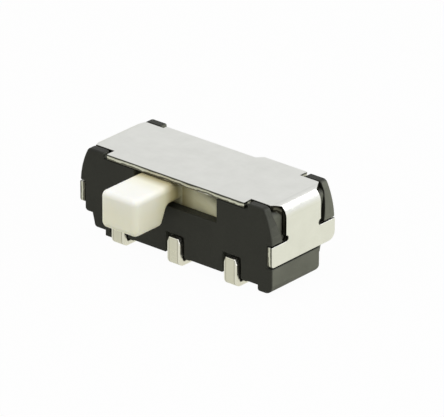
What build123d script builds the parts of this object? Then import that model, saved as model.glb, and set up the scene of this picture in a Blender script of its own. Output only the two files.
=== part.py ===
"""Miniature surface-mount slide switch with a side knob, one pole and two positions.

Sizes are in millimetres. X runs along the body, the knob points to -Y and Z rises
from the solder plane. The origin lies on the solder plane under the middle of the
body. The knob is modelled at the left end of its travel, where it rests.
"""

import os

from build123d import *

# Clearances
seat_gap = 0.02              # between the housing and what is pressed or folded onto it
side_play = 0.05             # slider to the front and rear walls
top_play = 0.05              # slider to the cover
floor_play = 0.08            # slider to the floor
end_play = 0.10              # carriage to the end walls at both limits
contact_gap = 0.01           # clip arms to the terminal blades

# Slider, its travel and what follows from them along X
travel = 1.70
knob_width = 1.60
knob_gap = 0.18              # knob to the sides of its window at both limits
carriage_lap = 0.07          # carriage still covers the window at both limits
end_wall = 0.33
window_width = knob_width + travel + 2 * knob_gap
carriage_length = window_width + travel + 2 * carriage_lap
cavity_length = carriage_length + travel + 2 * end_play
housing_length = cavity_length + 2 * end_wall

# Stamped cover
cover_sheet = 0.20
cover_top = 3.20             # above the solder plane
cover_bend = 0.50            # outer radius of the fold at each end
corner_notch = 1.22          # length of each corner notch, from the outer face of a flap
neck_width = 2.56            # plate between the notches
flap_neck_width = 1.80       # flap above its crossbar
neck_taper = 0.21            # length over which the neck narrows, just before the fold ends
tee_bottom = 1.12            # crossbar of the flap, above the solder plane
tee_height = 0.76
tee_front_corner = 0.12
tee_rear_corner = 0.30
relief_radius = 0.10         # punched relief where the flap's neck meets its crossbar
step_depth = 0.22            # the rear edge stands back along its left part
step_end = 0.94              # where that part ends, from the middle of the body

# Moulded housing
body_depth = 3.30
wall = 0.38                  # front and rear walls
floor_top = 1.25
base_bottom = 0.36           # underside of the base above the solder plane
foot_bottom = 0.155          # undersides of the feet
window_height = 0.90
lug_length = 1.08            # corner lugs along X, from the outer face of a flap
lug_depth = 0.58
lug_gap = 0.05               # lug to the neck of the cover
lug_slant_drop = 0.30        # where the lug's inner side starts to lean out, below its top
lug_bulge = 0.38             # how far the lug's outer face leans in at its top
lug_radius = 2.80            # radius of that leaning face
lug_corner = 0.20
lug_edge = 0.07              # rounding of the lug's edges on the front and rear walls
tee_gap = 0.04               # crossbar to the lug above it and the block below it
end_block_length = 0.63      # block under one half of each crossbar, along X
end_block_depth = 2.50
end_block_corner = 0.30      # its lower outer edge
end_block_heel = 0.19        # its lower corner at its other end
corner_cut_height = 0.48     # cut beside the other half of each crossbar
corner_cut_length = 0.33
rear_cut_rise = 0.10         # the cut at the rear reaches higher
corner_cut_draft = 0.09
corner_cut_round = 0.12
small_foot_width = 0.31
small_foot_depth = 0.70
small_foot_gap = 0.02        # small foot to the lead beside it

# Terminals, six alike outside the housing
strip = 0.20
pitch = 2.50
lead_width = 0.57
lead_top = 1.03
lead_proud = 0.08            # outer face beyond the wall
lead_tip_drop = 0.20         # tapered tip
lead_tip_taper = 0.09
strip_bend = 0.04            # inner radius of the folds
pocket_side = 0.12           # pocket to the sides and the tip of a lead
pocket_top = 0.10
pad_width = 1.00             # pad on the underside, over the foot of a lead
blade_width = 1.20           # inner blade, which the clip slides on
blade_top_gap = 0.15         # blade to the roof of the carriage channel
blade_corner = 0.15
anchor_y = 0.55              # where a rear terminal is anchored in the base
anchor_top = 0.95

# Slider outside and inside
knob_reach = 1.92            # beyond the front wall
knob_height = 1.37
neck_height = 0.70           # part that passes through the window
knob_back_gap = 0.24         # wall to the back of the hanging part of the knob
knob_back_slope = 0.30
knob_round = 0.22
knob_edge = 0.22
channel_depth = 1.24
roof = 0.70                  # carriage above its channel
clip_pocket_height = 0.25

# Spring clip
clip_sheet = 0.10
clip_length = 3.10
clip_width = 0.90            # over the middles of its two sides
clip_arm_width = 0.60
clip_toe_lift = 0.18         # toes above the floor
clip_squeeze = 0.30          # share of the clip's height from its toes to the contact points
clip_shoulder = 0.71         # the same share to its shoulders
clip_flare = 0.19
clip_bend = 0.10

# Places that follow from the sizes above
body_length = housing_length + 2 * (seat_gap + cover_sheet)
half_length = body_length / 2
half_depth = body_depth / 2
end_face = housing_length / 2
cover_under = cover_top - cover_sheet
wall_top = cover_under - seat_gap
sill = cover_under - window_height
tee_top = tee_bottom + tee_height
cavity_depth = body_depth - 2 * wall
carriage_depth = cavity_depth - 2 * side_play
carriage_top = cover_under - top_play
carriage_bottom = floor_top + floor_play
channel_top = carriage_top - roof
blade_top = channel_top - blade_top_gap
rest_x = -travel / 2
lead_face = half_depth + lead_proud
lead_middle = lead_face - strip / 2
terminal_columns = {"left": -pitch, "middle": 0.0, "right": pitch}

os.makedirs("parts", exist_ok=True)


def save(piece, name):
    """Label a finished piece and write its STEP file."""
    piece.part.label = name
    export_step(piece.part, f"parts/{name}.step")


def half_turn(plane, turn):
    """Turn a vertical plane about the Z axis through the origin."""
    return Plane(
        origin=plane.origin.rotate(Axis.Z, turn),
        x_dir=plane.x_dir.rotate(Axis.Z, turn),
        z_dir=plane.z_dir.rotate(Axis.Z, turn),
    )


# Housing, one moulding
with BuildPart() as housing:
    # Corner lugs: towers in the notches of the cover, wider at their feet beside the flap
    lug_foot = tee_top + tee_gap
    slant_top = cover_top - lug_slant_drop
    for side in (-1, 1):
        with BuildSketch(Plane.XZ.offset(half_depth - lug_depth if side < 0 else -half_depth)):
            with BuildLine():
                lean = RadiusArc(
                    (half_length, lug_foot),
                    (half_length - lug_bulge, cover_top),
                    -lug_radius,
                )
                Polyline(
                    lean @ 1,
                    (half_length - lug_length, cover_top),
                    (half_length - lug_length, lug_foot),
                    lean @ 0,
                )
            make_face()
            corner = vertices().sort_by_distance((half_length - lug_bulge, cover_top, 0))[0]
            fillet(corner, lug_corner)
            mirror(about=Plane.YZ)
        extrude(amount=lug_depth)
    outer_edges = [
        edge
        for edge in housing.edges()
        if abs(abs(edge.center().Y) - half_depth) < seat_gap / 2
        and edge.center().Z > lug_foot + seat_gap
        and abs(edge.center().X) > half_length - lug_length + seat_gap
    ]
    fillet(outer_edges, lug_edge)
    with BuildSketch(Plane.YZ.offset(-body_length)):
        with BuildLine():
            Polyline(
                (neck_width / 2 + lug_gap, cover_top + 1),
                (neck_width / 2 + lug_gap, slant_top),
                (half_depth - lug_depth, lug_foot),
                (0, lug_foot),
                (0, cover_top + 1),
                close=True,
            )
        make_face()
        mirror(about=Plane.YZ)
    extrude(amount=2 * body_length, mode=Mode.SUBTRACT)

    # Block of the base and the four walls, rounded under the folds of the cover
    with BuildSketch(Plane.XZ) as section:
        with Locations((0, base_bottom)):
            Rectangle(
                housing_length,
                wall_top - base_bottom,
                align=(Align.CENTER, Align.MIN),
            )
        fillet(section.vertices().group_by(Axis.Y)[-1], cover_bend - cover_sheet - seat_gap)
    extrude(amount=half_depth, both=True)

    # Cavity for the carriage, window for the knob
    with BuildSketch(Plane.XY.offset(floor_top)):
        Rectangle(cavity_length, cavity_depth)
    extrude(amount=cover_top, mode=Mode.SUBTRACT)
    with BuildSketch(Plane.XZ):
        with Locations((0, sill)):
            Rectangle(window_width, window_height, align=(Align.CENTER, Align.MIN))
    extrude(amount=body_depth, mode=Mode.SUBTRACT)

    # The lower corners differ: a block with a foot on one, a cut on the other, and the
    # far end is the same turned half round
    for turn in (0, 180):
        with BuildSketch(half_turn(Plane.XZ.offset(half_depth - end_block_depth), turn)) as block:
            with Locations((half_length, foot_bottom)):
                Rectangle(
                    end_block_length,
                    tee_bottom - tee_gap - foot_bottom,
                    align=(Align.MAX, Align.MIN),
                )
            low_corners = block.vertices().group_by(Axis.Y)[0].sort_by(Axis.X)
            fillet(low_corners[-1], end_block_corner)
            fillet(block.vertices().group_by(Axis.Y)[0].sort_by(Axis.X)[0], seat_gap * 4)
        extrude(amount=end_block_depth)
        heel_y = end_block_depth - half_depth
        heel_z = foot_bottom + end_block_heel
        with BuildSketch(half_turn(Plane.YZ.offset(half_length - end_block_length), turn)):
            with BuildLine():
                heel = RadiusArc(
                    (heel_y, heel_z),
                    (heel_y - end_block_heel, foot_bottom),
                    end_block_heel,
                )
                Polyline(
                    heel @ 1,
                    (heel_y - end_block_heel, foot_bottom - seat_gap),
                    (heel_y + seat_gap, foot_bottom - seat_gap),
                    (heel_y + seat_gap, heel_z),
                    heel @ 0,
                )
            make_face()
        extrude(amount=end_block_length, mode=Mode.SUBTRACT)

        cut_top = base_bottom + corner_cut_height + (rear_cut_rise if turn else 0)
        cut_depth = body_depth - end_block_depth
        cut_inner = -end_face + corner_cut_length
        with BuildSketch(half_turn(Plane.XZ.offset(half_depth - cut_depth), turn)):
            with BuildLine():
                Polyline(
                    (-end_face, cut_top + corner_cut_round),
                    (-end_face - 1, cut_top + corner_cut_round),
                    (-end_face - 1, base_bottom),
                    (cut_inner + corner_cut_draft + corner_cut_round, base_bottom),
                )
                low_round = RadiusArc(
                    (cut_inner + corner_cut_draft + corner_cut_round, base_bottom),
                    (cut_inner + corner_cut_draft, base_bottom + corner_cut_round),
                    corner_cut_round,
                )
                Polyline(
                    low_round @ 1,
                    (cut_inner, cut_top),
                    (-end_face + corner_cut_round, cut_top),
                )
                RadiusArc(
                    (-end_face + corner_cut_round, cut_top),
                    (-end_face, cut_top + corner_cut_round),
                    corner_cut_round,
                )
            make_face()
        extrude(amount=cut_depth, mode=Mode.SUBTRACT)

        foot_x = -pitch - lead_width / 2 - small_foot_gap
        with BuildSketch(half_turn(Plane.XZ.offset(half_depth - small_foot_depth), turn)):
            with Locations((foot_x, foot_bottom)):
                Rectangle(
                    small_foot_width,
                    base_bottom - foot_bottom,
                    align=(Align.MAX, Align.MIN),
                )
        extrude(amount=small_foot_depth)

    # Pockets, pads and slots for the six terminals
    for turn, inner_y, inner_top in ((0, 0.0, floor_top), (180, anchor_y, anchor_top)):
        wall_plane = half_turn(Plane.XZ.offset(half_depth), turn)
        with BuildSketch(wall_plane):
            with Locations(*[(x, base_bottom) for x in terminal_columns.values()]):
                Rectangle(
                    lead_width + 2 * pocket_side,
                    lead_top + pocket_top - base_bottom,
                    align=(Align.CENTER, Align.MIN),
                )
        extrude(amount=-(strip - lead_proud + seat_gap), mode=Mode.SUBTRACT)

        pad_inner = inner_y + strip / 2 + strip_bend + seat_gap
        pad_outer = lead_face - strip - strip_bend - seat_gap
        with BuildSketch(half_turn(Plane.XZ.offset(pad_inner), turn)):
            with Locations(*[(x, strip + seat_gap) for x in terminal_columns.values()]):
                Rectangle(
                    pad_width,
                    base_bottom - strip - seat_gap,
                    align=(Align.CENTER, Align.MIN),
                )
        extrude(amount=pad_outer - pad_inner)

        with BuildSketch(half_turn(Plane.XZ.offset(inner_y - strip / 2 - seat_gap / 2), turn)):
            with Locations(*[(x, 0) for x in terminal_columns.values()]):
                Rectangle(
                    lead_width + seat_gap,
                    inner_top + seat_gap / 2,
                    align=(Align.CENTER, Align.MIN),
                )
        extrude(amount=strip + seat_gap, mode=Mode.SUBTRACT)
save(housing, "housing")

# Cover, one stamped sheet folded down at both ends
with BuildPart() as cover:
    fold_x = half_length - cover_sheet / 2
    with BuildSketch(Plane.XZ):
        with BuildLine():
            FilletPolyline(
                (-fold_x, tee_bottom),
                (-fold_x, cover_top - cover_sheet / 2),
                (fold_x, cover_top - cover_sheet / 2),
                (fold_x, tee_bottom),
                radius=cover_bend - cover_sheet / 2,
            )
        trace(line_width=cover_sheet)
    extrude(amount=half_depth, both=True)

    # Corner notches, which leave the neck of the plate, the neck of the flap and its crossbar
    notch_x = half_length - corner_notch
    taper_end = half_length - cover_sheet
    with BuildSketch(Plane.XY.offset(tee_top)):
        with BuildLine():
            Polyline(
                (notch_x, half_depth + 1),
                (notch_x, neck_width / 2),
                (taper_end - neck_taper, neck_width / 2),
                (taper_end, flap_neck_width / 2),
                (half_length + 1, flap_neck_width / 2),
                (half_length + 1, half_depth + 1),
                close=True,
            )
        make_face()
        mirror(about=Plane.XZ)
        mirror(about=Plane.YZ)
    extrude(amount=cover_top, mode=Mode.SUBTRACT)

    # Punched reliefs, rounded crossbars and the step in the rear edge
    with BuildSketch(Plane.YZ.offset(-body_length)):
        for side in (-1, 1):
            with Locations((side * flap_neck_width / 2, tee_top + relief_radius)):
                Circle(relief_radius)
    extrude(amount=2 * body_length, mode=Mode.SUBTRACT)
    tee_edges = cover.edges().filter_by(Axis.X).group_by(Axis.Z)[0]
    fillet(tee_edges.group_by(Axis.Y)[0], tee_front_corner)
    tee_edges = cover.edges().filter_by(Axis.X).filter_by(
        lambda edge: abs(edge.center().Z - tee_bottom) < seat_gap
        and abs(edge.center().Y - half_depth) < seat_gap
    )
    fillet(tee_edges, tee_rear_corner)
    with BuildSketch(Plane.XY.offset(cover_under - cover_bend)):
        with BuildLine():
            Polyline(
                (-notch_x - seat_gap, half_depth - step_depth),
                (step_end, half_depth - step_depth),
                (step_end + step_depth, half_depth),
                (step_end + step_depth, half_depth + 1),
                (-notch_x - seat_gap, half_depth + 1),
                close=True,
            )
        make_face()
    extrude(amount=cover_top, mode=Mode.SUBTRACT)
save(cover, "cover")

# Slider, one moulding: the carriage in the cavity and the knob outside
with BuildPart() as slider:
    with BuildSketch(Plane((rest_x, 0, carriage_bottom))):
        Rectangle(carriage_length, carriage_depth)
    extrude(amount=carriage_top - carriage_bottom)

    # Channel that rides over the blades, with a pocket for the back of the clip
    with BuildSketch(Plane((rest_x, 0, carriage_bottom))):
        Rectangle(carriage_length, channel_depth)
    extrude(amount=channel_top - carriage_bottom, mode=Mode.SUBTRACT)
    with BuildSketch(Plane((rest_x, 0, channel_top))):
        Rectangle(clip_length + 2 * seat_gap, clip_width + clip_sheet + 2 * seat_gap)
    extrude(amount=clip_pocket_height, mode=Mode.SUBTRACT)

    # Knob: its neck passes over the sill and its lower part hangs in front of the wall
    knob_front = -half_depth - knob_reach
    knob_back = -half_depth - knob_back_gap
    knob_bottom = carriage_top - knob_height
    neck_bottom = carriage_top - neck_height
    with BuildSketch(Plane.YZ.offset(rest_x)) as knob_side:
        with BuildLine():
            Polyline(
                (-carriage_depth / 2, carriage_top),
                (knob_front, carriage_top),
                (knob_front, knob_bottom),
                (knob_back - knob_back_slope, knob_bottom),
                (knob_back, neck_bottom),
                (-carriage_depth / 2, neck_bottom),
                close=True,
            )
        make_face()
        for corner in (
            (knob_front, carriage_top),
            (knob_front, knob_bottom),
            (knob_back - knob_back_slope, knob_bottom),
            (knob_back, neck_bottom),
        ):
            fillet(vertices().sort_by_distance((*corner, 0))[0], knob_round)
    extrude(amount=knob_width / 2, both=True)
    tip_edges = slider.faces().sort_by(Axis.Y)[0].edges().filter_by(Axis.Z)
    fillet(tip_edges, knob_edge)
save(slider, "slider")

# Moving contact, a spring clip that straddles the blades and rides in the slider
with BuildPart() as moving_contact:
    clip_z = channel_top + clip_pocket_height - seat_gap - clip_sheet / 2
    toe_z = floor_top + clip_toe_lift
    squeeze_z = toe_z + clip_squeeze * (clip_z - toe_z)
    shoulder_z = toe_z + clip_shoulder * (clip_z - toe_z)
    squeeze_y = (strip + clip_sheet) / 2 + contact_gap
    side_y = clip_width / 2
    with BuildSketch(Plane.YZ.offset(rest_x)):
        with BuildLine():
            FilletPolyline(
                (-squeeze_y - clip_flare, toe_z),
                (-squeeze_y, squeeze_z),
                (-side_y, shoulder_z),
                (-side_y, clip_z),
                (side_y, clip_z),
                (side_y, shoulder_z),
                (squeeze_y, squeeze_z),
                (squeeze_y + clip_flare, toe_z),
                radius=clip_bend,
            )
        trace(line_width=clip_sheet)
    extrude(amount=clip_length / 2, both=True)
    # Window that parts the two arms on each side
    with BuildSketch(Plane((rest_x, 0, floor_top))):
        Rectangle(clip_length - 2 * clip_arm_width, body_depth)
    extrude(amount=channel_top - floor_top, mode=Mode.SUBTRACT)
save(moving_contact, "moving_contact")

# Terminals: the front ones carry a blade inside, the rear ones only hold the switch down
for row, turn in (("front", 0), ("rear", 180)):
    for column, x in terminal_columns.items():
        with BuildPart() as terminal:
            inner_y = 0.0 if row == "front" else anchor_y
            inner_top = floor_top + strip if row == "front" else anchor_top
            centre = x if row == "front" else -x
            with BuildSketch(half_turn(Plane.YZ.offset(centre), turn)):
                with BuildLine():
                    FilletPolyline(
                        (-inner_y, inner_top),
                        (-inner_y, strip / 2),
                        (-lead_middle, strip / 2),
                        (-lead_middle, lead_top - lead_tip_drop),
                        radius=strip_bend + strip / 2,
                    )
                trace(line_width=strip)
            extrude(amount=lead_width / 2, both=True)
            with BuildSketch(half_turn(Plane.XZ.offset(lead_face - strip), turn)):
                with BuildLine():
                    Polyline(
                        (centre - lead_width / 2, lead_top - lead_tip_drop),
                        (centre - lead_width / 2 + lead_tip_taper, lead_top),
                        (centre + lead_width / 2 - lead_tip_taper, lead_top),
                        (centre + lead_width / 2, lead_top - lead_tip_drop),
                        close=True,
                    )
                make_face()
            extrude(amount=strip)
            if row == "front":
                with BuildSketch(Plane.XZ) as blade:
                    with Locations((x, floor_top + seat_gap)):
                        Rectangle(
                            blade_width,
                            blade_top - floor_top - seat_gap,
                            align=(Align.CENTER, Align.MIN),
                        )
                    fillet(blade.vertices().group_by(Axis.Y)[-1], blade_corner)
                extrude(amount=strip / 2, both=True)
        save(terminal, f"{row}_terminal_{column}")
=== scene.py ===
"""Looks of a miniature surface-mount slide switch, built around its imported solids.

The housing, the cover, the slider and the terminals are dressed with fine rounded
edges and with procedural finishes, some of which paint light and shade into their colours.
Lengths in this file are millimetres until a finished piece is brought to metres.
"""

import logging
import math
from collections.abc import Callable
from dataclasses import dataclass, field
from enum import Enum

import bmesh
import bpy
from bmesh.types import BMEdge
from bpy.types import Material, Mesh, MeshPolygon, Node, NodeSocket, NodeTree, Object
from mathutils import Matrix, Vector


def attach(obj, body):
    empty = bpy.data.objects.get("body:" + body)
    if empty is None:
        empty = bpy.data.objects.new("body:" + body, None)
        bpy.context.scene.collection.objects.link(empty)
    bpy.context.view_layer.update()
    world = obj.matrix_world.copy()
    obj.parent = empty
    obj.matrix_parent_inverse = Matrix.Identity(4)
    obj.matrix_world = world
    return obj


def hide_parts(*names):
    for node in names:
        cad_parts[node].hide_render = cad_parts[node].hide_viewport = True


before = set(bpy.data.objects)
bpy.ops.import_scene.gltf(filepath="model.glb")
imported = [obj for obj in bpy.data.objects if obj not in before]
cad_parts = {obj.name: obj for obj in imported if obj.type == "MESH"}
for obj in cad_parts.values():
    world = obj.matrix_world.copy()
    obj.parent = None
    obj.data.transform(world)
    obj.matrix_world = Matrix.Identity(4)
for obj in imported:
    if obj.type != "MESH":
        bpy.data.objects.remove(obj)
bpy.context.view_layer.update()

LOG = logging.getLogger("slide_switch")
Colour = tuple[float, float, float]
Stops = tuple[tuple[float, Colour], ...]

MM = 0.001                       # metres in a millimetre
PAINTED_END_LIGHT = "painted_end_light"            # face attribute: how much painted light falls on a face of the housing as an end face
PAINTED_NOTCH_SHADE = "painted_notch_shade"            # face attribute: how much painted shade an edge of the cover gets in a notch

# rounding of edges: lengths in millimetres, angles in degrees
WIDEST_EDGE = 0.1                # the width that a bevel weight of 1 stands for
THINNEST_EDGE = 0.004            # narrower roundings are left out
WELD_DISTANCE = 0.0005           # corners nearer than this are one
FLAT_ANGLE = 0.5                 # faces that turn by less are one face
SHARP_ANGLE = 33.0               # edges that turn by more are rounded
FACE_SHARE = 0.45                # how much of the next edge a rounding may use up
CROSSING = 0.5                   # sine of the turn from which the next edge crosses this one
ONWARD = 0.6                     # cosine of the turn up to which a run goes on
EDGE_SEGMENTS = 3
SMOOTH_LEAD_ANGLE = 40.0         # edges of a lead that turn by less are shaded smooth

# finishes
NOISE_SPAN = (0.25, 0.75)        # where nearly all of a noise texture's values lie
GRAIN_STRENGTH = 0.5             # bump strength of the moulded grain
STREAK_STRENGTH = 0.4            # bump strength of the rolling marks
RAGGED_SPAN = (0.6, 1.4)         # how unevenly the bands run along the sheared edge
GLOW_TINT = (1.0, 0.85, 0.55)    # how far each colour passes into the knob's plastic
GLOW_REACH = 0.25                # the same for a tint of 1, in millimetres


class Row(Enum):
    """The two rows of leads, with the way each one faces along Y."""

    FRONT = -1.0
    REAR = 1.0


def put(tree: NodeTree, kind: str, x: float, y: float,
        inputs: dict[str | int, object] | None = None, **settings: object) -> Node:
    """Adds a node to a tree.

    Args:
        tree: the tree that gets the node.
        kind: the node's type name.
        x: its place along the tree, for people who open it.
        y: its place down the tree.
        inputs: a plain value or a socket to link for each input that needs one.
        **settings: properties such as operation or data_type.

    Returns:
        The new node.
    """
    node = tree.nodes.new(kind)
    node.location = (x, y)
    for name, value in settings.items():
        setattr(node, name, value)
    for slot, value in (inputs or {}).items():
        if isinstance(value, NodeSocket):
            tree.links.new(value, node.inputs[slot])
        else:
            node.inputs[slot].default_value = value
    return node


def reckon(tree: NodeTree, operation: str, x: float, y: float,
           *values: NodeSocket | float) -> NodeSocket:
    """Adds a sum, a product or the like.

    Args:
        tree: the tree.
        operation: the math node's operation.
        x: node place along the tree.
        y: node place down the tree.
        *values: what it works on.

    Returns:
        The result's socket.
    """
    return put(tree, "ShaderNodeMath", x, y, dict(enumerate(values)),
               operation=operation).outputs[0]


def ranged(tree: NodeTree, value: NodeSocket, source: tuple, target: tuple,
           x: float, y: float, **settings: object) -> NodeSocket:
    """Maps a value from one range to another.

    Args:
        tree: the tree.
        value: the value's socket.
        source: the range it comes from, as values or sockets.
        target: the range it goes to, the same way.
        x: node place along the tree.
        y: node place down the tree.
        **settings: properties of the node.

    Returns:
        The result's socket.
    """
    ends = {"From Min": source[0], "From Max": source[1], "To Min": target[0], "To Max": target[1]}
    return put(tree, "ShaderNodeMapRange", x, y, {"Value": value, **ends}, **settings).outputs[0]


def blended(tree: NodeTree, share: NodeSocket | float, first: object, second: object,
            x: float, y: float, kind: str = "MIX") -> NodeSocket:
    """Blends two colours.

    Args:
        tree: the tree.
        share: how much of the second one goes in.
        first: one colour or its socket.
        second: the other.
        x: node place along the tree.
        y: node place down the tree.
        kind: the way they are blended.

    Returns:
        The result's socket.
    """
    return put(tree, "ShaderNodeMix", x, y, {0: share, 6: first, 7: second},
               data_type="RGBA", blend_type=kind).outputs[2]


@dataclass(frozen=True)
class GroupMaker:
    """Shader node groups that more than one finish uses, each made once."""

    made: dict = field(default_factory=dict)

    def _open(self, name: str, inputs: dict[str, float],
              outputs: tuple[str, ...]) -> tuple[NodeTree, Node]:
        """Starts a group with named sockets.

        Args:
            name: the group's name.
            inputs: input names with their default values.
            outputs: output names.

        Returns:
            The tree and its input node.
        """
        tree = bpy.data.node_groups.new(name, "ShaderNodeTree")
        for label, value in inputs.items():
            socket = tree.interface.new_socket(label, in_out="INPUT", socket_type="NodeSocketFloat")
            socket.default_value = value
        for label in outputs:
            tree.interface.new_socket(label, in_out="OUTPUT", socket_type="NodeSocketFloat")
        return tree, put(tree, "NodeGroupInput", -900, 0)

    def grain(self) -> NodeTree:
        """Fine spark-eroded grain and slow mottling for moulded plastic.

        Returns:
            A group with outputs Height and Mottle, both from 0 to 1.
        """
        if "grain" not in self.made:
            tree, given = self._open("moulded_grain",
                                     {"Grain Scale": 14000.0, "Mottle Scale": 900.0},
                                     ("Height", "Mottle"))
            coords = put(tree, "ShaderNodeTexCoord", -700, 0).outputs["Object"]
            fine = put(tree, "ShaderNodeTexNoise", -400, 150,
                       {"Vector": coords, "Scale": given.outputs["Grain Scale"],
                        "Detail": 3.0, "Roughness": 0.6})
            slow = put(tree, "ShaderNodeTexNoise", -400, -150,
                       {"Vector": coords, "Scale": given.outputs["Mottle Scale"],
                        "Detail": 4.0, "Roughness": 0.55})
            put(tree, "NodeGroupOutput", 700, 0,
                {"Height": fine.outputs["Fac"], "Mottle": slow.outputs["Fac"]})
            self.made["grain"] = tree
        return self.made["grain"]

    def rolled(self) -> NodeTree:
        """Rolling marks along X and small scuffs for plated sheet.

        Returns:
            A group with outputs Streak and Scuff, both from 0 to 1.
        """
        if "rolled" not in self.made:
            tree, given = self._open(
                "rolled_sheet",
                {"Streak Scale": 5000.0, "Streak Stretch": 0.06, "Scuff Scale": 1500.0},
                ("Streak", "Scuff"))
            coords = put(tree, "ShaderNodeTexCoord", -800, 0).outputs["Object"]
            squeeze = put(tree, "ShaderNodeCombineXYZ", -700, -150,
                          {"X": given.outputs["Streak Stretch"], "Y": 1.0, "Z": 1.0})
            stretch = put(tree, "ShaderNodeVectorMath", -550, 150,
                          {0: coords, 1: squeeze.outputs["Vector"]}, operation="MULTIPLY")
            streak = put(tree, "ShaderNodeTexNoise", -300, 150,
                         {"Vector": stretch.outputs["Vector"],
                          "Scale": given.outputs["Streak Scale"], "Detail": 4.0})
            scuff = put(tree, "ShaderNodeTexNoise", -300, -150,
                        {"Vector": coords, "Scale": given.outputs["Scuff Scale"],
                         "Detail": 5.0, "Roughness": 0.65})
            put(tree, "NodeGroupOutput", 700, 0,
                {"Streak": streak.outputs["Fac"], "Scuff": scuff.outputs["Fac"]})
            self.made["rolled"] = tree
        return self.made["rolled"]


GROUPS = GroupMaker()


def stops(tree: NodeTree, source: NodeSocket, places: Stops,
          x: float = 0.0, y: float = 0.0) -> NodeSocket:
    """Gives a colour that runs through a row of stops.

    Args:
        tree: the material's tree.
        source: a value from 0 to 1.
        places: the stops, each with its place and its linear colour.
        x: node place along the tree.
        y: node place down the tree.

    Returns:
        The colour's socket.
    """
    ramp = put(tree, "ShaderNodeValToRGB", x, y, {"Fac": source})
    elements = ramp.color_ramp.elements
    elements.remove(elements[1])
    elements[0].position = places[0][0]
    elements[0].color = (*places[0][1], 1.0)
    for place, colour in places[1:]:
        elements.new(place).color = (*colour, 1.0)
    return ramp.outputs["Color"]


def times(tree: NodeTree, first: NodeSocket, second: NodeSocket,
          x: float = 0.0, y: float = 0.0) -> NodeSocket:
    """Multiplies two colours.

    Args:
        tree: the material's tree.
        first: one colour's socket.
        second: the other's.
        x: node place along the tree.
        y: node place down the tree.

    Returns:
        The product's socket.
    """
    return blended(tree, 1.0, first, second, x, y, "MULTIPLY")


def face_tint(tree: NodeTree, base: NodeSocket, name: str, places: Stops,
              y: float) -> NodeSocket:
    """Tints a colour by a face attribute of the piece.

    Args:
        tree: the material's tree.
        base: the colour's socket.
        name: the attribute's name.
        places: the tints over its value.
        y: node place down the tree.

    Returns:
        The tinted colour's socket.
    """
    value = put(tree, "ShaderNodeAttribute", -700, y, attribute_name=name)
    return times(tree, base, stops(tree, value.outputs["Fac"], places, -450, y), -100, y - 300)


@dataclass(frozen=True)
class Finish:
    """What the plastics and the metals have in common.

    Attributes:
        name: the material's name.
        dark: colour in the dark patches, linear.
        light: colour elsewhere.
        rough: roughness range.
        relief: depth of the grain or of the rolling marks in millimetres.
    """

    name: str
    dark: Colour
    light: Colour
    rough: tuple[float, float]
    relief: float

    def start(self, effects: NodeTree, patches: str, marks: str,
              strength: float) -> tuple[Material, Node, NodeSocket]:
        """Makes a material with patches of colour and fine marks.

        Args:
            effects: the group that gives both.
            patches: its output for the patches.
            marks: its output for the marks.
            strength: bump strength of the marks.

        Returns:
            The material, its group node and the base colour's socket, which isn't linked yet.
        """
        material = bpy.data.materials.new(self.name)
        material.use_nodes = True
        tree = material.node_tree
        shader = tree.nodes["Principled BSDF"]
        group = put(tree, "ShaderNodeGroup", -900, 0, node_tree=effects)
        share = ranged(tree, group.outputs[patches], NOISE_SPAN, (0.0, 1.0), -650, 200)
        base = blended(tree, share, (*self.dark, 1.0), (*self.light, 1.0), -400, 200)
        rough = ranged(tree, group.outputs[marks], NOISE_SPAN, self.rough, -400, -50)
        tree.links.new(rough, shader.inputs["Roughness"])
        bump = put(tree, "ShaderNodeBump", -200, -300,
                   {"Strength": strength, "Distance": self.relief * MM,
                    "Height": group.outputs[marks]})
        tree.links.new(bump.outputs["Normal"], shader.inputs["Normal"])
        return material, group, base


@dataclass(frozen=True)
class Plastic(Finish):
    """Moulded plastic with a fine grain.

    Attributes:
        grain_scale: grain cells per metre.
        subsurface: how far light passes into the plastic, 0 for none.
        specular: strength of its gloss, 0.5 being a usual plastic's.
        painted_light_grades: painted light and shade that change along an axis, each with the axis,
            its places in millimetres and the colours that go with them.
        ends: painted light over the face attribute PAINTED_END_LIGHT, lighter on the end faces.
    """

    grain_scale: float
    subsurface: float = 0.0
    specular: float = 0.5
    painted_light_grades: tuple[tuple[str, tuple[float, ...], tuple[Colour, ...]], ...] = ()
    ends: Stops = ()

    def paint_light_along_axes(self, tree: NodeTree, base: NodeSocket) -> NodeSocket:
        """Paints light and shade into the base along the axes, such as shade where light dies away
        in the window.

        Args:
            tree: the material's tree.
            base: the base colour's socket.

        Returns:
            The tinted colour's socket.
        """
        coords = put(tree, "ShaderNodeTexCoord", -1300, 500)
        split = put(tree, "ShaderNodeSeparateXYZ", -1100, 500, {0: coords.outputs["Object"]})
        for row, (axis, places, tints) in enumerate(self.painted_light_grades):
            level = 500 + 300 * row
            low, high = places[0], places[-1]
            span = (low * MM, high * MM)
            along = ranged(tree, split.outputs[axis], span, (0.0, 1.0), -900, level)
            shares = tuple(((at - low) / (high - low), tint) for at, tint in zip(places, tints))
            base = times(tree, base, stops(tree, along, shares, -650, level), -250, level)
        return base

    def build(self) -> Material:
        """Makes the material.

        Returns:
            The material.
        """
        material, group, base = self.start(GROUPS.grain(), "Mottle", "Height", GRAIN_STRENGTH)
        tree = material.node_tree
        shader = tree.nodes["Principled BSDF"]
        group.inputs["Grain Scale"].default_value = self.grain_scale
        # painted light and shade along the axes
        if self.painted_light_grades:
            base = self.paint_light_along_axes(tree, base)
        # painted light on the end faces
        if self.ends:
            base = face_tint(tree, base, PAINTED_END_LIGHT, self.ends, 900)
        tree.links.new(base, shader.inputs["Base Color"])
        shader.inputs["Specular IOR Level"].default_value = self.specular
        if self.subsurface > 0.0:
            shader.inputs["Subsurface Weight"].default_value = self.subsurface
            shader.inputs["Subsurface Radius"].default_value = GLOW_TINT
            shader.inputs["Subsurface Scale"].default_value = GLOW_REACH * MM
        return material


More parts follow.
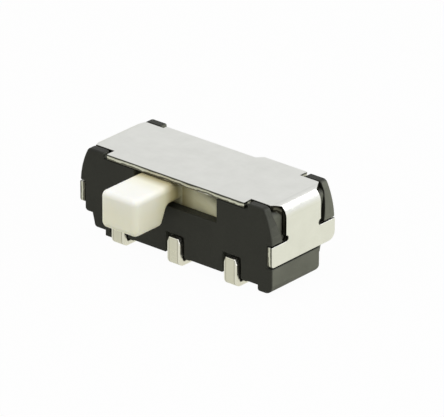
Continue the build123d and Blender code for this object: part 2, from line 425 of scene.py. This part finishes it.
@dataclass(frozen=True)
class PlatedMetal(Finish):
    """Plated sheet metal with rolling marks.

    Attributes:
        shell: half length, top, bend radius and sheet of a folded shell in millimetres.
        edge: stops through the sheet, from its outer skin to its inner one, with painted shade in
            the dark ones.
        columns: pitch and width of a row of strips, and the heights where their tips begin and end.
        painted_highlight_stops: painted highlights from the middle of a strip to its edges and its
            tip: duller in the middle, a darker line just inside, bright edges and tip.
        notch: painted shade over the face attribute PAINTED_NOTCH_SHADE, on the cover's edges in
            the notches.
    """

    shell: tuple[float, float, float, float] = ()
    edge: Stops = ()
    columns: tuple[float, float, float, float] = ()
    painted_highlight_stops: Stops = ()
    notch: Stops = ()

    def outward(self, tree: NodeTree) -> NodeSocket:
        """Finds how far a point lies from the middle of its strip, 1 at the edges and at the tip.

        Args:
            tree: the material's tree.

        Returns:
            The distance's socket.
        """
        pitch, width, tip_low, tip_high = (size * MM for size in self.columns)
        coords = put(tree, "ShaderNodeTexCoord", -1700, 1000)
        split = put(tree, "ShaderNodeSeparateXYZ", -1500, 1000, {0: coords.outputs["Object"]})
        fold = reckon(tree, "WRAP", -1300, 1100, split.outputs["X"], pitch / 2.0, -pitch / 2.0)
        away = reckon(tree, "ABSOLUTE", -1150, 1100, fold)
        share = reckon(tree, "DIVIDE", -1000, 1100, away, width / 2.0)
        tip = ranged(tree, split.outputs["Z"], (tip_low, tip_high), (0.0, 1.0), -1150, 900)
        return reckon(tree, "MAXIMUM", -850, 1000, share, tip)

    def depth(self, tree: NodeTree) -> NodeSocket:
        """Finds how deep a point lies in the folded sheet, from 0 on its outer skin to 1 inside.

        Args:
            tree: the material's tree.

        Returns:
            The depth's socket.
        """
        half, top, radius, sheet = (size * MM for size in self.shell)
        from_bend = put(tree, "ShaderNodeTexCoord", -1900, 600).outputs["Object"]
        steps = (("ABSOLUTE", (0.0, 0.0, 0.0)), ("SUBTRACT", (half - radius, 0.0, top - radius)),
                 ("MULTIPLY", (1.0, 0.0, 1.0)))
        for step, (operation, second) in enumerate(steps):
            from_bend = put(tree, "ShaderNodeVectorMath", -1700 + 200 * step, 600,
                            {0: from_bend, 1: second}, operation=operation).outputs[0]
        beyond = put(tree, "ShaderNodeVectorMath", -1100, 700,
                     {0: from_bend, 1: (0.0, 0.0, 0.0)}, operation="MAXIMUM")
        reach = put(tree, "ShaderNodeVectorMath", -900, 700, {0: beyond.outputs[0]},
                    operation="LENGTH")
        split = put(tree, "ShaderNodeSeparateXYZ", -1100, 500, {0: from_bend})
        larger = reckon(tree, "MAXIMUM", -900, 500, split.outputs["X"], split.outputs["Z"])
        inside = reckon(tree, "MINIMUM", -750, 500, larger, 0.0)
        total = reckon(tree, "ADD", -600, 600, reach.outputs["Value"], inside)
        return ranged(tree, total, (radius, radius - sheet), (0.0, 1.0), -450, 600)

    def build(self) -> Material:
        """Makes the material.

        Returns:
            The material.
        """
        material, group, base = self.start(GROUPS.rolled(), "Scuff", "Streak", STREAK_STRENGTH)
        tree = material.node_tree
        shader = tree.nodes["Principled BSDF"]
        shader.inputs["Metallic"].default_value = 1.0
        # the zones of the sheared edge, with painted shade in the dark ones
        if self.edge:
            uneven = ranged(tree, group.outputs["Scuff"], NOISE_SPAN, RAGGED_SPAN, -450, 800)
            ragged = reckon(tree, "MULTIPLY", -300, 600, self.depth(tree), uneven)
            base = times(tree, base, stops(tree, ragged, self.edge, -150, 600), 100, 400)
        # painted highlights on the strip's edges and tip
        if self.painted_highlight_stops:
            bands = stops(tree, self.outward(tree), self.painted_highlight_stops, -450, 900)
            base = times(tree, base, bands, -100, 600)
        # painted shade on the cover's edges in the notches
        if self.notch:
            base = face_tint(tree, base, PAINTED_NOTCH_SHADE, self.notch, 1300)
        tree.links.new(base, shader.inputs["Base Color"])
        return material


# ends: painted light, the housing's end faces painted lighter than the rest and more so towards the
# rear
BLACK_MOULDING = Plastic("black_moulding", (0.072, 0.075, 0.060), (0.104, 0.107, 0.087),
                         (0.40, 0.56), 0.006, 16000.0, specular=0.26,
                         ends=((0.0, (0.19, 0.19, 0.175)), (0.1, (0.24, 0.24, 0.23)),
                               (0.35, (0.68, 0.68, 0.68)), (0.6, (1.5, 1.5, 1.46)),
                               (1.0, (2.0, 2.0, 1.95))))
# grades: painted light and shade; along Y painted shade deepens towards the wall and eases on the
# carriage face, along Z the top is painted whiter than the warmer lower part, along X painted shade
# falls on the carriage beside the neck
IVORY_KNOB = Plastic("ivory_knob", (0.91, 0.91, 0.86), (0.95, 0.95, 0.91),
                     (0.34, 0.46), 0.003, 11000.0, 0.2,
                     painted_light_grades=(("Y", (-3.4, -2.6, -2.1, -1.75, -1.45, -1.25),
                              ((1.0, 1.0, 1.0), (1.0, 0.995, 0.97), (0.96, 0.94, 0.82),
                               (0.58, 0.52, 0.33), (0.38, 0.34, 0.20), (0.72, 0.71, 0.58))),
                             ("Z", (1.3, 2.2, 2.68, 2.92),
                              ((1.0, 0.98, 0.81), (1.0, 0.975, 0.82), (1.0, 0.985, 0.88),
                               (1.0, 1.0, 1.0))),
                             ("X", (-2.2, -1.68, -1.66, -0.04, -0.02, 0.5),
                              ((1.0, 1.0, 1.0), (0.58, 0.53, 0.40), (1.0, 1.0, 1.0),
                               (1.0, 1.0, 1.0), (0.58, 0.53, 0.40), (1.0, 1.0, 1.0)))))
# the stops of edge: outer skin, drawn-in line, burnished band, torn band, inner skin; partly the
# real zones of a sheared edge, partly painted shade in the dark drawn-in line and torn band
BRIGHT_COVER = PlatedMetal("bright_cover", (0.82, 0.825, 0.785), (0.89, 0.895, 0.855),
                           (0.30, 0.42), 0.0015, shell=(4.25, 3.2, 0.5, 0.2),
                           edge=((0.0, (1.0, 1.0, 1.0)), (0.02, (0.9, 0.9, 0.9)),
                                 (0.08, (0.05, 0.05, 0.04)), (0.24, (0.06, 0.06, 0.05)),
                                 (0.36, (0.67, 0.67, 0.63)), (0.58, (0.83, 0.83, 0.78)),
                                 (0.70, (0.13, 0.125, 0.11)), (0.97, (0.18, 0.175, 0.15)),
                                 (1.0, (0.8, 0.8, 0.8))),
                           # notch: painted shade on the cover's edges in the notches
                           notch=((0.0, (1.0, 1.0, 1.0)), (0.4, (0.55, 0.55, 0.53)),
                                  (1.0, (0.16, 0.155, 0.14))))
# across: painted highlights, the strips' edges and tips painted bright, with a darker line just
# inside the edges
TINNED_LEAD = PlatedMetal("tinned_lead", (0.80, 0.79, 0.75), (0.88, 0.87, 0.84),
                          (0.26, 0.40), 0.0015, columns=(2.5, 0.57, 0.92, 1.02),
                          painted_highlight_stops=((0.0, (0.82, 0.82, 0.76)), (0.56, (0.84, 0.83, 0.77)),
                                  (0.66, (0.48, 0.47, 0.42)), (0.78, (1.0, 1.0, 0.98)),
                                  (1.0, (1.0, 0.99, 0.95))))
SILVERED_CLIP = PlatedMetal("silvered_clip", (0.76, 0.75, 0.72), (0.84, 0.83, 0.80),
                            (0.22, 0.34), 0.001)


def room(edge: BMEdge, wanted: float, rounded: set[BMEdge]) -> float:
    """Finds how wide an edge can be rounded before the rounding runs out of face.

    Args:
        edge: the edge.
        wanted: the width asked for, in millimetres.
        rounded: all the edges that are to be rounded.

    Returns:
        The width that fits.
    """
    along = (edge.verts[1].co - edge.verts[0].co).normalized()
    width = wanted
    for vert in edge.verts:
        for other in vert.link_edges:
            if other is edge or not set(other.link_faces) & set(edge.link_faces):
                continue
            side = other.other_vert(vert).co - vert.co
            turned = side.cross(along).length
            if turned > CROSSING * side.length or other not in rounded:
                width = min(width, FACE_SHARE * turned)
    return width


def runs(edges: list[BMEdge]) -> list[list[BMEdge]]:
    """Sorts edges into runs that go on from one to the next without a sharp turn.

    Args:
        edges: the edges.

    Returns:
        The runs.
    """
    waiting = set(edges)
    found = []
    for first in edges:
        if first not in waiting:
            continue
        waiting.discard(first)
        run, open_ends = [], [first]
        while open_ends:
            edge = open_ends.pop()
            run.append(edge)
            for vert in edge.verts:
                way = (vert.co - edge.other_vert(vert).co).normalized()
                for other in vert.link_edges:
                    if other in waiting:
                        onward = (other.other_vert(vert).co - vert.co).normalized()
                        if onward.dot(way) > ONWARD:
                            waiting.discard(other)
                            open_ends.append(other)
        found.append(run)
    return found


def baked_mesh(piece: Object) -> Mesh:
    """Bakes a piece's modifiers and takes them off.

    Args:
        piece: the piece, in millimetres.

    Returns:
        Its mesh, in metres.
    """
    depsgraph = bpy.context.evaluated_depsgraph_get()
    baked = bpy.data.meshes.new_from_object(piece.evaluated_get(depsgraph))
    piece.modifiers.clear()
    piece.data = baked
    baked.transform(Matrix.Scale(MM, 4))
    return baked


def softened(node: str, name: str, widths: Callable[[Vector], float]) -> Object:
    """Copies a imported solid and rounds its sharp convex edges.

    Args:
        node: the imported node's name.
        name: the new piece's name.
        widths: gives the width of the rounding at a point, both in millimetres.

    Returns:
        The new piece, in metres, at the origin.
    """
    bm = bmesh.new()
    bm.from_mesh(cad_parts[node].data)
    bmesh.ops.transform(bm, matrix=Matrix.Scale(1.0 / MM, 4), verts=bm.verts)
    bmesh.ops.remove_doubles(bm, verts=bm.verts, dist=WELD_DISTANCE)
    bmesh.ops.dissolve_limit(bm, angle_limit=math.radians(FLAT_ANGLE), verts=bm.verts,
                             edges=bm.edges)
    weight = bm.edges.layers.float.new("bevel_weight_edge")
    sharp = [edge for edge in bm.edges
             if len(edge.link_faces) == 2
             and edge.calc_face_angle() > math.radians(SHARP_ANGLE)]
    rounded = {edge for edge in sharp if edge.is_convex}
    left_out = True
    while left_out:
        left_out = False
        for run in runs([edge for edge in bm.edges if edge in rounded]):
            middles = [(edge.verts[0].co + edge.verts[1].co) / 2.0 for edge in run]
            width = min(room(edge, widths(middle), rounded)
                        for edge, middle in zip(run, middles))
            for edge in run:
                edge[weight] = width / WIDEST_EDGE
            if width < THINNEST_EDGE:
                rounded -= set(run)
                left_out = True
    for edge in sharp:
        if edge not in rounded:
            edge.smooth = False
            edge[weight] = 0.0
    LOG.info("%s: %d sharp edges", name, len(sharp))
    for face in bm.faces:
        face.smooth = True
    mesh = bpy.data.meshes.new(name)
    bm.to_mesh(mesh)
    bm.free()
    piece = bpy.data.objects.new(name, mesh)
    bpy.context.collection.objects.link(piece)
    rounding = piece.modifiers.new("rounding", "BEVEL")
    rounding.width = WIDEST_EDGE
    rounding.segments = EDGE_SEGMENTS
    rounding.limit_method = "WEIGHT"
    rounding.miter_outer = "MITER_ARC"
    rounding.use_clamp_overlap = False
    flats = piece.modifiers.new("flats", "WEIGHTED_NORMAL")
    flats.mode = "FACE_AREA"
    flats.weight = 100
    flats.keep_sharp = True
    baked_mesh(piece)
    return piece


@dataclass
class Assembly:
    """What every sub-assembly does with its finished pieces.

    Attributes:
        body: the body that its pieces ride on.
    """

    body: str = "base"

    def settle(self, piece: Object, node: str, slot: str,
               finish: Material) -> None:
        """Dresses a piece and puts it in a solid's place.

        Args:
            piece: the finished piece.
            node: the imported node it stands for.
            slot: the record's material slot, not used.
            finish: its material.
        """
        piece.data.materials.clear()
        piece.data.materials.append(finish)
        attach(piece, self.body)
        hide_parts(node)
        spans = [[corner[axis] / MM for corner in piece.bound_box] for axis in range(3)]
        LOG.info("piece %s for %s: %d faces, from %s to %s", piece.name, node,
                 len(piece.data.polygons), [round(min(span), 3) for span in spans],
                 [round(max(span), 3) for span in spans])

    def mark(self, piece: Object, name: str,
             rule: Callable[[MeshPolygon], float]) -> None:
        """Gives each face of a piece a value that its material reads.

        Args:
            piece: the finished piece, in metres.
            name: the attribute's name.
            rule: gives a face's value.
        """
        layer = piece.data.attributes.new(name, "FLOAT", "FACE")
        for polygon, slot in zip(piece.data.polygons, layer.data):
            slot.value = rule(polygon)


@dataclass
class Shell(Assembly):
    """The moulded housing under its folded cover, in millimetres.

    Attributes:
        housing_edge: rounding of the housing's edges, apart from its ends.
        block_edge: rounding on the end blocks, which begin at block_start.
        lug_edge: rounding on the lugs, which stand beyond lug_start and above lug_foot.
        cover_edge: rounding of the cover's edges.
        half_depth: half of the body's depth.
        painted_end_level: how much painted light an end face gets in the middle of that depth.
        painted_end_rise: how much more painted light it gets at the rear.
        neck_start: where the cover's necks begin.
        neck_side: how far a neck reaches to its sides, at most.
        neck_gain: how fast the painted shade of a notch comes in as an edge turns sideways.
    """

    housing_edge: float = 0.03
    block_edge: float = 0.05
    block_start: float = 3.5
    lug_edge: float = 0.07
    lug_start: float = 3.0
    lug_foot: float = 2.4
    cover_edge: float = 0.025
    half_depth: float = 1.65
    painted_end_level: float = 0.68
    painted_end_rise: float = 0.32
    neck_start: float = 3.1
    neck_side: float = 1.4
    neck_gain: float = 2.0

    def housing_width(self, point: Vector) -> float:
        """Gives the housing's rounding: wide on the lugs and the end blocks, fine elsewhere.

        Args:
            point: the middle of an edge.

        Returns:
            The width.
        """
        if point.z > self.lug_foot and abs(point.x) > self.lug_start:
            return self.lug_edge
        if abs(point.x) > self.block_start:
            return self.block_edge
        return self.housing_edge

    def painted_end_share(self, polygon: MeshPolygon) -> float:
        """Tells how much painted light a face of the housing gets as an end face, less towards the
        front.

        Args:
            polygon: the face, in metres.

        Returns:
            The share, from 0 to 1.
        """
        share = self.painted_end_level + self.painted_end_rise * polygon.center.y / (self.half_depth * MM)
        return polygon.normal.x ** 2 * min(1.0, max(0.0, share))

    def notch_shade_share(self, polygon: MeshPolygon) -> float:
        """Tells how much painted shade a face of the cover gets in a notch, as it turns sideways.

        Args:
            polygon: the face, in metres.

        Returns:
            The share, from 0 to 1.
        """
        x, y, _ = (abs(part) / MM for part in polygon.center)
        if x > self.neck_start and y < self.neck_side:
            return min(1.0, self.neck_gain * abs(polygon.normal.y))
        return 0.0

    def build(self) -> None:
        """Makes the housing and the cover."""
        housing = softened("housing", "housing_moulding", self.housing_width)
        self.mark(housing, PAINTED_END_LIGHT, self.painted_end_share)
        self.settle(housing, "housing", "housing_plastic", BLACK_MOULDING.build())
        cover = softened("cover", "folded_cover", lambda point: self.cover_edge)
        self.mark(cover, PAINTED_NOTCH_SHADE, self.notch_shade_share)
        self.settle(cover, "cover", "plated_steel", BRIGHT_COVER.build())


@dataclass(frozen=True)
class FoldedStrip:
    """Geometry nodes that fold a strip into a lead, with a blade on its inner end.

    Attributes:
        name: the tree's name.
        sizes: the tree's inputs in millimetres, with their default values.
        tip_close: size of the strip's section at the very end of its tip.
        fold_points: points round a fold.
        edge_points: points round a corner of the section.
        blade_points: points round a corner of the blade.
    """

    name: str = "folded_strip"
    sizes: tuple[tuple[str, float], ...] = (
        ("Column", 0.0),
        ("Facing", -1.0),
        ("Width", 0.57),
        ("Thickness", 0.20),
        ("Inner Place", 0.0),
        ("Inner Top", 1.27),
        ("Lead Place", 1.63),
        ("Lead Top", 1.03),
        ("Fold Radius", 0.14),
        ("Edge Radius", 0.05),
        ("Tip Drop", 0.20),
        ("Tip Taper", 0.30),
        ("Blade Width", 1.20),
        ("Blade Height", 0.83),
        ("Blade Corner", 0.15),
    )
    tip_close: float = 0.72
    fold_points: int = 8
    edge_points: int = 4
    blade_points: int = 5

    def build(self) -> NodeTree:
        """Makes the tree.

        Returns:
            The tree, which ends in Realize Instances and Set Material.
        """
        tree = bpy.data.node_groups.new(self.name, "GeometryNodeTree")
        declare = tree.interface.new_socket
        declare("Geometry", in_out="OUTPUT", socket_type="NodeSocketGeometry")
        for label, value in self.sizes:
            declare(label, in_out="INPUT", socket_type="NodeSocketFloat").default_value = value
        declare("With Blade", in_out="INPUT", socket_type="NodeSocketBool")
        declare("Finish", in_out="INPUT", socket_type="NodeSocketMaterial")
        given = put(tree, "NodeGroupInput", -1600, 0).outputs
        link = tree.links.new

        def point(along: NodeSocket, height: NodeSocket, x: float, y: float) -> NodeSocket:
            """Adds a point in the strip's column, from its place along Y and its height."""
            return put(tree, "ShaderNodeCombineXYZ", x, y,
                       {"X": given["Column"], "Y": along, "Z": height}).outputs[0]

        inner = reckon(tree, "MULTIPLY", -1150, 500, given["Inner Place"], given["Facing"])
        outer = reckon(tree, "MULTIPLY", -1150, 350, given["Lead Place"], given["Facing"])
        half = reckon(tree, "MULTIPLY", -1150, 200, given["Thickness"], 0.5)
        top = given["Lead Top"]
        shoulder = reckon(tree, "SUBTRACT", -1150, 50, top, given["Tip Drop"])
        half_drop = reckon(tree, "MULTIPLY", -1300, -100, given["Tip Drop"], 0.5)
        middle = reckon(tree, "SUBTRACT", -1150, -100, top, half_drop)
        near = reckon(tree, "SUBTRACT", -1150, -250, top, given["Edge Radius"])
        last_step = reckon(tree, "MULTIPLY", -1300, -400, given["Edge Radius"], 0.3)
        almost = reckon(tree, "SUBTRACT", -1150, -400, top, last_step)
        heights = (given["Inner Top"], half, half, shoulder, middle, near, almost, top)
        places = (inner, inner, outer, outer, outer, outer, outer, outer)
        pick = put(tree, "GeometryNodeIndexSwitch", -700, 200, data_type="VECTOR")
        while len(pick.index_switch_items) < len(heights):
            pick.index_switch_items.new()
        link(put(tree, "GeometryNodeInputIndex", -900, 500).outputs[0], pick.inputs["Index"])
        for slot, (place, height) in enumerate(zip(places, heights)):
            link(point(place, height, -900, 350 - 120 * slot), pick.inputs[slot + 1])
        line = put(tree, "GeometryNodeMeshLine", -700, 500,
                   {"Count": len(heights), "Offset": (0.0, 0.0, 1.0)})
        bend = put(tree, "GeometryNodeSetPosition", -500, 400,
                   {"Geometry": line.outputs[0], "Position": pick.outputs[0]})
        path = put(tree, "GeometryNodeMeshToCurve", -330, 400, {"Mesh": bend.outputs[0]})
        folds = self.filleted(tree, path.outputs[0], given["Fold Radius"], self.fold_points,
                              -160, 400)

        # the last rings of the tip close in, which rounds its end
        position = put(tree, "GeometryNodeInputPosition", -330, 100)
        where = put(tree, "ShaderNodeSeparateXYZ", -160, 100, {0: position.outputs[0]}).outputs
        apart = reckon(tree, "SUBTRACT", -160, -60, where["Y"], outer)
        apart = reckon(tree, "ABSOLUTE", -60, -60, apart)
        upright = put(tree, "FunctionNodeCompare", 20, 0, {"A": apart, "B": given["Thickness"]},
                      data_type="FLOAT", operation="LESS_THAN").outputs[0]
        closing = ranged(tree, where["Z"], (near, top), (1.0, self.tip_close), 20, 250,
                         interpolation_type="SMOOTHSTEP")
        ring = put(tree, "GeometryNodeSetCurveRadius", 200, 400,
                   {"Curve": folds, "Selection": upright, "Radius": closing})
        section = put(tree, "GeometryNodeCurvePrimitiveQuadrilateral", 20, 700,
                      {"Width": given["Width"], "Height": given["Thickness"]})
        rounded = self.filleted(tree, section.outputs[0], given["Edge Radius"], self.edge_points,
                                200, 700)
        sweep = put(tree, "GeometryNodeCurveToMesh", 400, 500,
                    {"Curve": ring.outputs[0], "Profile Curve": rounded, "Fill Caps": True})

        # the tip tapers in width only
        narrow = ranged(tree, where["Z"], (shoulder, top), (0.0, given["Tip Taper"]), 560, -150)
        away = reckon(tree, "SUBTRACT", 560, 100, where["X"], given["Column"])
        back = reckon(tree, "MULTIPLY", 720, -150, narrow, -1.0)
        pull = reckon(tree, "MULTIPLY", 880, 0, away, back)
        shift = put(tree, "ShaderNodeCombineXYZ", 1020, 0, {"X": pull})
        taper = put(tree, "GeometryNodeSetPosition", 1180, 400,
                    {"Geometry": sweep.outputs[0], "Selection": upright,
                     "Offset": shift.outputs[0]})

        # the blade stands on the inner end
        plate = put(tree, "GeometryNodeCurvePrimitiveQuadrilateral", 560, -600,
                    {"Width": given["Blade Width"], "Height": given["Blade Height"]})
        corners = self.filleted(tree, plate.outputs[0], given["Blade Corner"], self.blade_points,
                                720, -600)
        half_blade = reckon(tree, "MULTIPLY", 250, -800, given["Blade Height"], 0.5)
        level = reckon(tree, "ADD", 400, -800, given["Inner Top"], half_blade)
        start = point(reckon(tree, "SUBTRACT", 400, -950, inner, half), level, 560, -800)
        end = point(reckon(tree, "ADD", 400, -1100, inner, half), level, 560, -950)
        through = put(tree, "GeometryNodeCurvePrimitiveLine", 720, -800,
                      {"Start": start, "End": end})
        blade = put(tree, "GeometryNodeCurveToMesh", 900, -600,
                    {"Curve": through.outputs[0], "Profile Curve": corners, "Fill Caps": True})
        choose = put(tree, "GeometryNodeSwitch", 1080, -600,
                     {"Switch": given["With Blade"], "True": blade.outputs[0]},
                     input_type="GEOMETRY")

        join = put(tree, "GeometryNodeJoinGeometry", 1340, 0)
        link(taper.outputs[0], join.inputs[0])
        link(choose.outputs[0], join.inputs[0])
        whole = put(tree, "GeometryNodeRealizeInstances", 1460, 0, {0: join.outputs[0]})
        dress = put(tree, "GeometryNodeSetMaterial", 1580, 0,
                    {"Geometry": whole.outputs[0], "Material": given["Finish"]})
        put(tree, "NodeGroupOutput", 1700, 0, {0: dress.outputs[0]})
        return tree

    def filleted(self, tree: NodeTree, curve: NodeSocket, radius: NodeSocket, count: int,
                 x: float, y: float) -> NodeSocket:
        """Rounds the corners of a curve.

        Args:
            tree: the tree.
            curve: the curve's socket.
            radius: the socket of the corners' radius.
            count: points in a corner.
            x: node place along the tree.
            y: node place down the tree.

        Returns:
            The rounded curve's socket.
        """
        return put(tree, "GeometryNodeFilletCurve", x, y,
                   {"Curve": curve, "Radius": radius, "Count": count}, mode="POLY").outputs[0]


@dataclass
class Terminals(Assembly):
    """The two rows of leads, in millimetres.

    Attributes:
        pitch: distance between columns.
        blade: where the front strips go up to their blades.
        blade_foot: how far up they go.
        anchor: where the rear strips go up into the base.
        anchor_top: how far up they go.
    """

    pitch: float = 2.5
    blade: float = 0.0
    blade_foot: float = 1.27
    anchor: float = 0.55
    anchor_top: float = 0.95

    def lead(self, name: str, tree: NodeTree, finish: Material,
             **sizes: float) -> Object:
        """Makes one lead from the tree.

        Args:
            name: the piece's name.
            tree: the folded strip's tree.
            finish: its material.
            **sizes: values for the tree's inputs, with underscores for spaces.

        Returns:
            The finished piece, in metres, at the origin.
        """
        piece = bpy.data.objects.new(name, bpy.data.meshes.new(name))
        bpy.context.collection.objects.link(piece)
        modifier = piece.modifiers.new("strip", "NODES")
        modifier.node_group = tree
        wanted = {key.replace("_", " "): value for key, value in sizes.items()}
        wanted["Finish"] = finish
        for item in tree.interface.items_tree:
            if item.item_type == "SOCKET" and item.in_out == "INPUT" and item.name in wanted:
                modifier[item.identifier] = wanted[item.name]
        baked = baked_mesh(piece)
        for polygon in baked.polygons:
            polygon.use_smooth = True
        baked.set_sharp_from_angle(angle=math.radians(SMOOTH_LEAD_ANGLE))
        return piece

    def build(self) -> None:
        """Makes all the terminals in one finish."""
        finish = TINNED_LEAD.build()
        tree = FoldedStrip().build()
        for row in Row:
            front = row is Row.FRONT
            for column, place in (("left", -self.pitch), ("middle", 0.0), ("right", self.pitch)):
                piece = self.lead(
                    f"{row.name.lower()}_lead_{column}", tree, finish,
                    Column=place, Facing=row.value, With_Blade=front,
                    Inner_Place=self.blade if front else self.anchor,
                    Inner_Top=self.blade_foot if front else self.anchor_top,
                )
                self.settle(piece, f"{row.name.lower()}_terminal_{column}", "plated_lead", finish)


@dataclass
class Slide(Assembly):
    """The slider and the clip that rides in it, in millimetres.

    Attributes:
        edge: rounding of the slider's edges.
        clip_edge: rounding of the clip's edges.
    """

    body: str = "slider"
    edge: float = 0.03
    clip_edge: float = 0.01

    def build(self) -> None:
        """Makes the slider and the clip."""
        self.settle(softened("slider", "slider_knob", lambda point: self.edge),
                    "slider", "knob_plastic", IVORY_KNOB.build())
        self.settle(softened("moving_contact", "contact_clip", lambda point: self.clip_edge),
                    "moving_contact", "plated_spring", SILVERED_CLIP.build())


@dataclass
class Studio:
    """Floor, lamps, world and the camera that matches the photograph.

    Attributes:
        azimuth: the camera's angle round the switch, in degrees from -Y.
        elevation: its height angle in degrees.
        distance: from the aim point in millimetres.
        aim: the point that the camera was fitted to, in millimetres.
        aim_pixel: where that point lies in the photograph.
        frame_pixels: width and height of the photograph.
        focal_pixels: focal length in pixels.
        sensor: width of the camera's sensor in millimetres.
        reach: half of the floor's side in millimetres.
        floor_colour: what the floor gives back to the switch by plain light.
        floor_glint: its colour in the metal's reflections.
        floor_share: how much of the floor's shown colour is plain white, the rest being shadow.
        sky: strength of the world's light on the switch.
    """

    azimuth: float = 40.58
    elevation: float = 24.37
    distance: float = 200.9
    aim: tuple[float, float, float] = (0.0, 0.0, 1.796)
    aim_pixel: tuple[float, float] = (206.7, 200.9)
    frame_pixels: tuple[float, float] = (444.0, 417.0)
    focal_pixels: float = 5960.0
    sensor: float = 36.0
    reach: float = 400.0
    floor_colour: Colour = (0.56, 0.56, 0.54)
    floor_glint: Colour = (0.84, 0.84, 0.73)
    floor_share: float = 0.97
    sky: float = 0.27

    def camera(self) -> None:
        """Makes the camera of the photograph."""
        a, e = math.radians(self.azimuth), math.radians(self.elevation)
        back = Vector((math.sin(a) * math.cos(e), -math.cos(a) * math.cos(e), math.sin(e)))
        data = bpy.data.cameras.new("photo_camera")
        data.sensor_fit = "HORIZONTAL"
        data.sensor_width = self.sensor
        data.lens = self.focal_pixels / self.frame_pixels[0] * data.sensor_width
        data.shift_x = (self.frame_pixels[0] / 2 - self.aim_pixel[0]) / self.frame_pixels[0]
        data.shift_y = -(self.frame_pixels[1] / 2 - self.aim_pixel[1]) / self.frame_pixels[0]
        data.clip_start = 10.0 * MM
        data.clip_end = 10.0
        camera = bpy.data.objects.new("photo_camera", data)
        bpy.context.collection.objects.link(camera)
        camera.rotation_mode = "QUATERNION"
        camera.location = (Vector(self.aim) + back * self.distance) * MM
        camera.rotation_quaternion = (-back).to_track_quat("-Z", "Y")
        bpy.context.scene.camera = camera

    def lamp(self, name: str, place: tuple[float, float, float], size: float, power: float,
             mirrored: bool = True) -> None:
        """Adds a square soft lamp that looks at the switch.

        Args:
            name: the lamp's name.
            place: its centre in millimetres.
            size: its side in millimetres.
            power: its power in watts.
            mirrored: whether the metal shows its reflection.
        """
        data = bpy.data.lights.new(name, "AREA")
        data.shape = "SQUARE"
        data.size = size * MM
        data.energy = power
        lamp = bpy.data.objects.new(name, data)
        bpy.context.collection.objects.link(lamp)
        lamp.location = Vector(place) * MM
        lamp.rotation_mode = "QUATERNION"
        lamp.rotation_quaternion = (-Vector(place)).to_track_quat("-Z", "Y")
        lamp.visible_glossy = mirrored

    def floor(self) -> None:
        """Makes the pale floor, which shows white around the switch and keeps its shadow."""
        mesh = bpy.data.meshes.new("floor")
        side = self.reach * MM
        mesh.from_pydata([(-side, -side, 0), (side, -side, 0), (side, side, 0), (-side, side, 0)],
                         [], [(0, 1, 2, 3)])
        plane = bpy.data.objects.new("floor", mesh)
        bpy.context.collection.objects.link(plane)
        material = bpy.data.materials.new("pale_floor")
        material.use_nodes = True
        tree = material.node_tree
        shader = tree.nodes["Principled BSDF"]
        shader.inputs["Base Color"].default_value = (*self.floor_colour, 1.0)
        shader.inputs["Roughness"].default_value = 0.9
        rays = put(tree, "ShaderNodeLightPath", -400, 300).outputs
        seen = reckon(tree, "MAXIMUM", -200, 300, rays["Is Camera Ray"], rays["Is Glossy Ray"])
        share = reckon(tree, "MULTIPLY", 0, 300, seen, self.floor_share)
        tint = blended(tree, rays["Is Glossy Ray"], (1.0, 1.0, 1.0, 1.0),
                       (*self.floor_glint, 1.0), -200, -300)
        glow = put(tree, "ShaderNodeEmission", 0, -300, {"Color": tint, "Strength": 1.0})
        mix = put(tree, "ShaderNodeMixShader", 250, 0,
                  {0: share, 1: shader.outputs[0], 2: glow.outputs[0]})
        tree.links.new(mix.outputs[0], tree.nodes["Material Output"].inputs["Surface"])
        mesh.materials.append(material)

    def world(self) -> None:
        """Makes a plain pale world, which the camera and the metal see as a light grey."""
        world = bpy.data.worlds.new("studio")
        bpy.context.scene.world = world
        world.use_nodes = True
        tree = world.node_tree
        sky = tree.nodes["Background"]
        sky.inputs["Color"].default_value = (1.0, 1.0, 1.0, 1.0)
        sky.inputs["Strength"].default_value = self.sky
        bright = put(tree, "ShaderNodeBackground", 0, -200, {"Strength": 1.0})
        rays = put(tree, "ShaderNodeLightPath", -500, 300).outputs
        seen = reckon(tree, "MAXIMUM", -300, 300, rays["Is Camera Ray"], rays["Is Glossy Ray"])
        either = reckon(tree, "MAXIMUM", -100, 300, seen, rays["Is Transmission Ray"])
        mix = put(tree, "ShaderNodeMixShader", 250, 0,
                  {0: either, 1: sky.outputs[0], 2: bright.outputs[0]})
        tree.links.new(mix.outputs[0], tree.nodes["World Output"].inputs["Surface"])

    def build(self) -> None:
        """Sets up the whole studio."""
        self.camera()
        self.floor()
        self.world()
        self.lamp("key", (-30.0, -40.0, 150.0), 240.0, 0.25, mirrored=False)
        self.lamp("fill", (-90.0, -120.0, 60.0), 110.0, 0.026, mirrored=False)
        self.lamp("side", (140.0, 10.0, 60.0), 110.0, 0.09)
        self.lamp("back", (60.0, 104.0, 86.0), 50.0, 0.03)
        bpy.context.scene.view_settings.view_transform = "Standard"


def main() -> None:
    """Builds the switch and its studio."""
    logging.basicConfig(level=logging.INFO, format="%(name)s: %(message)s")
    Shell().build()
    Terminals().build()
    Slide().build()
    Studio().build()


if __name__ == "__main__":
    main()
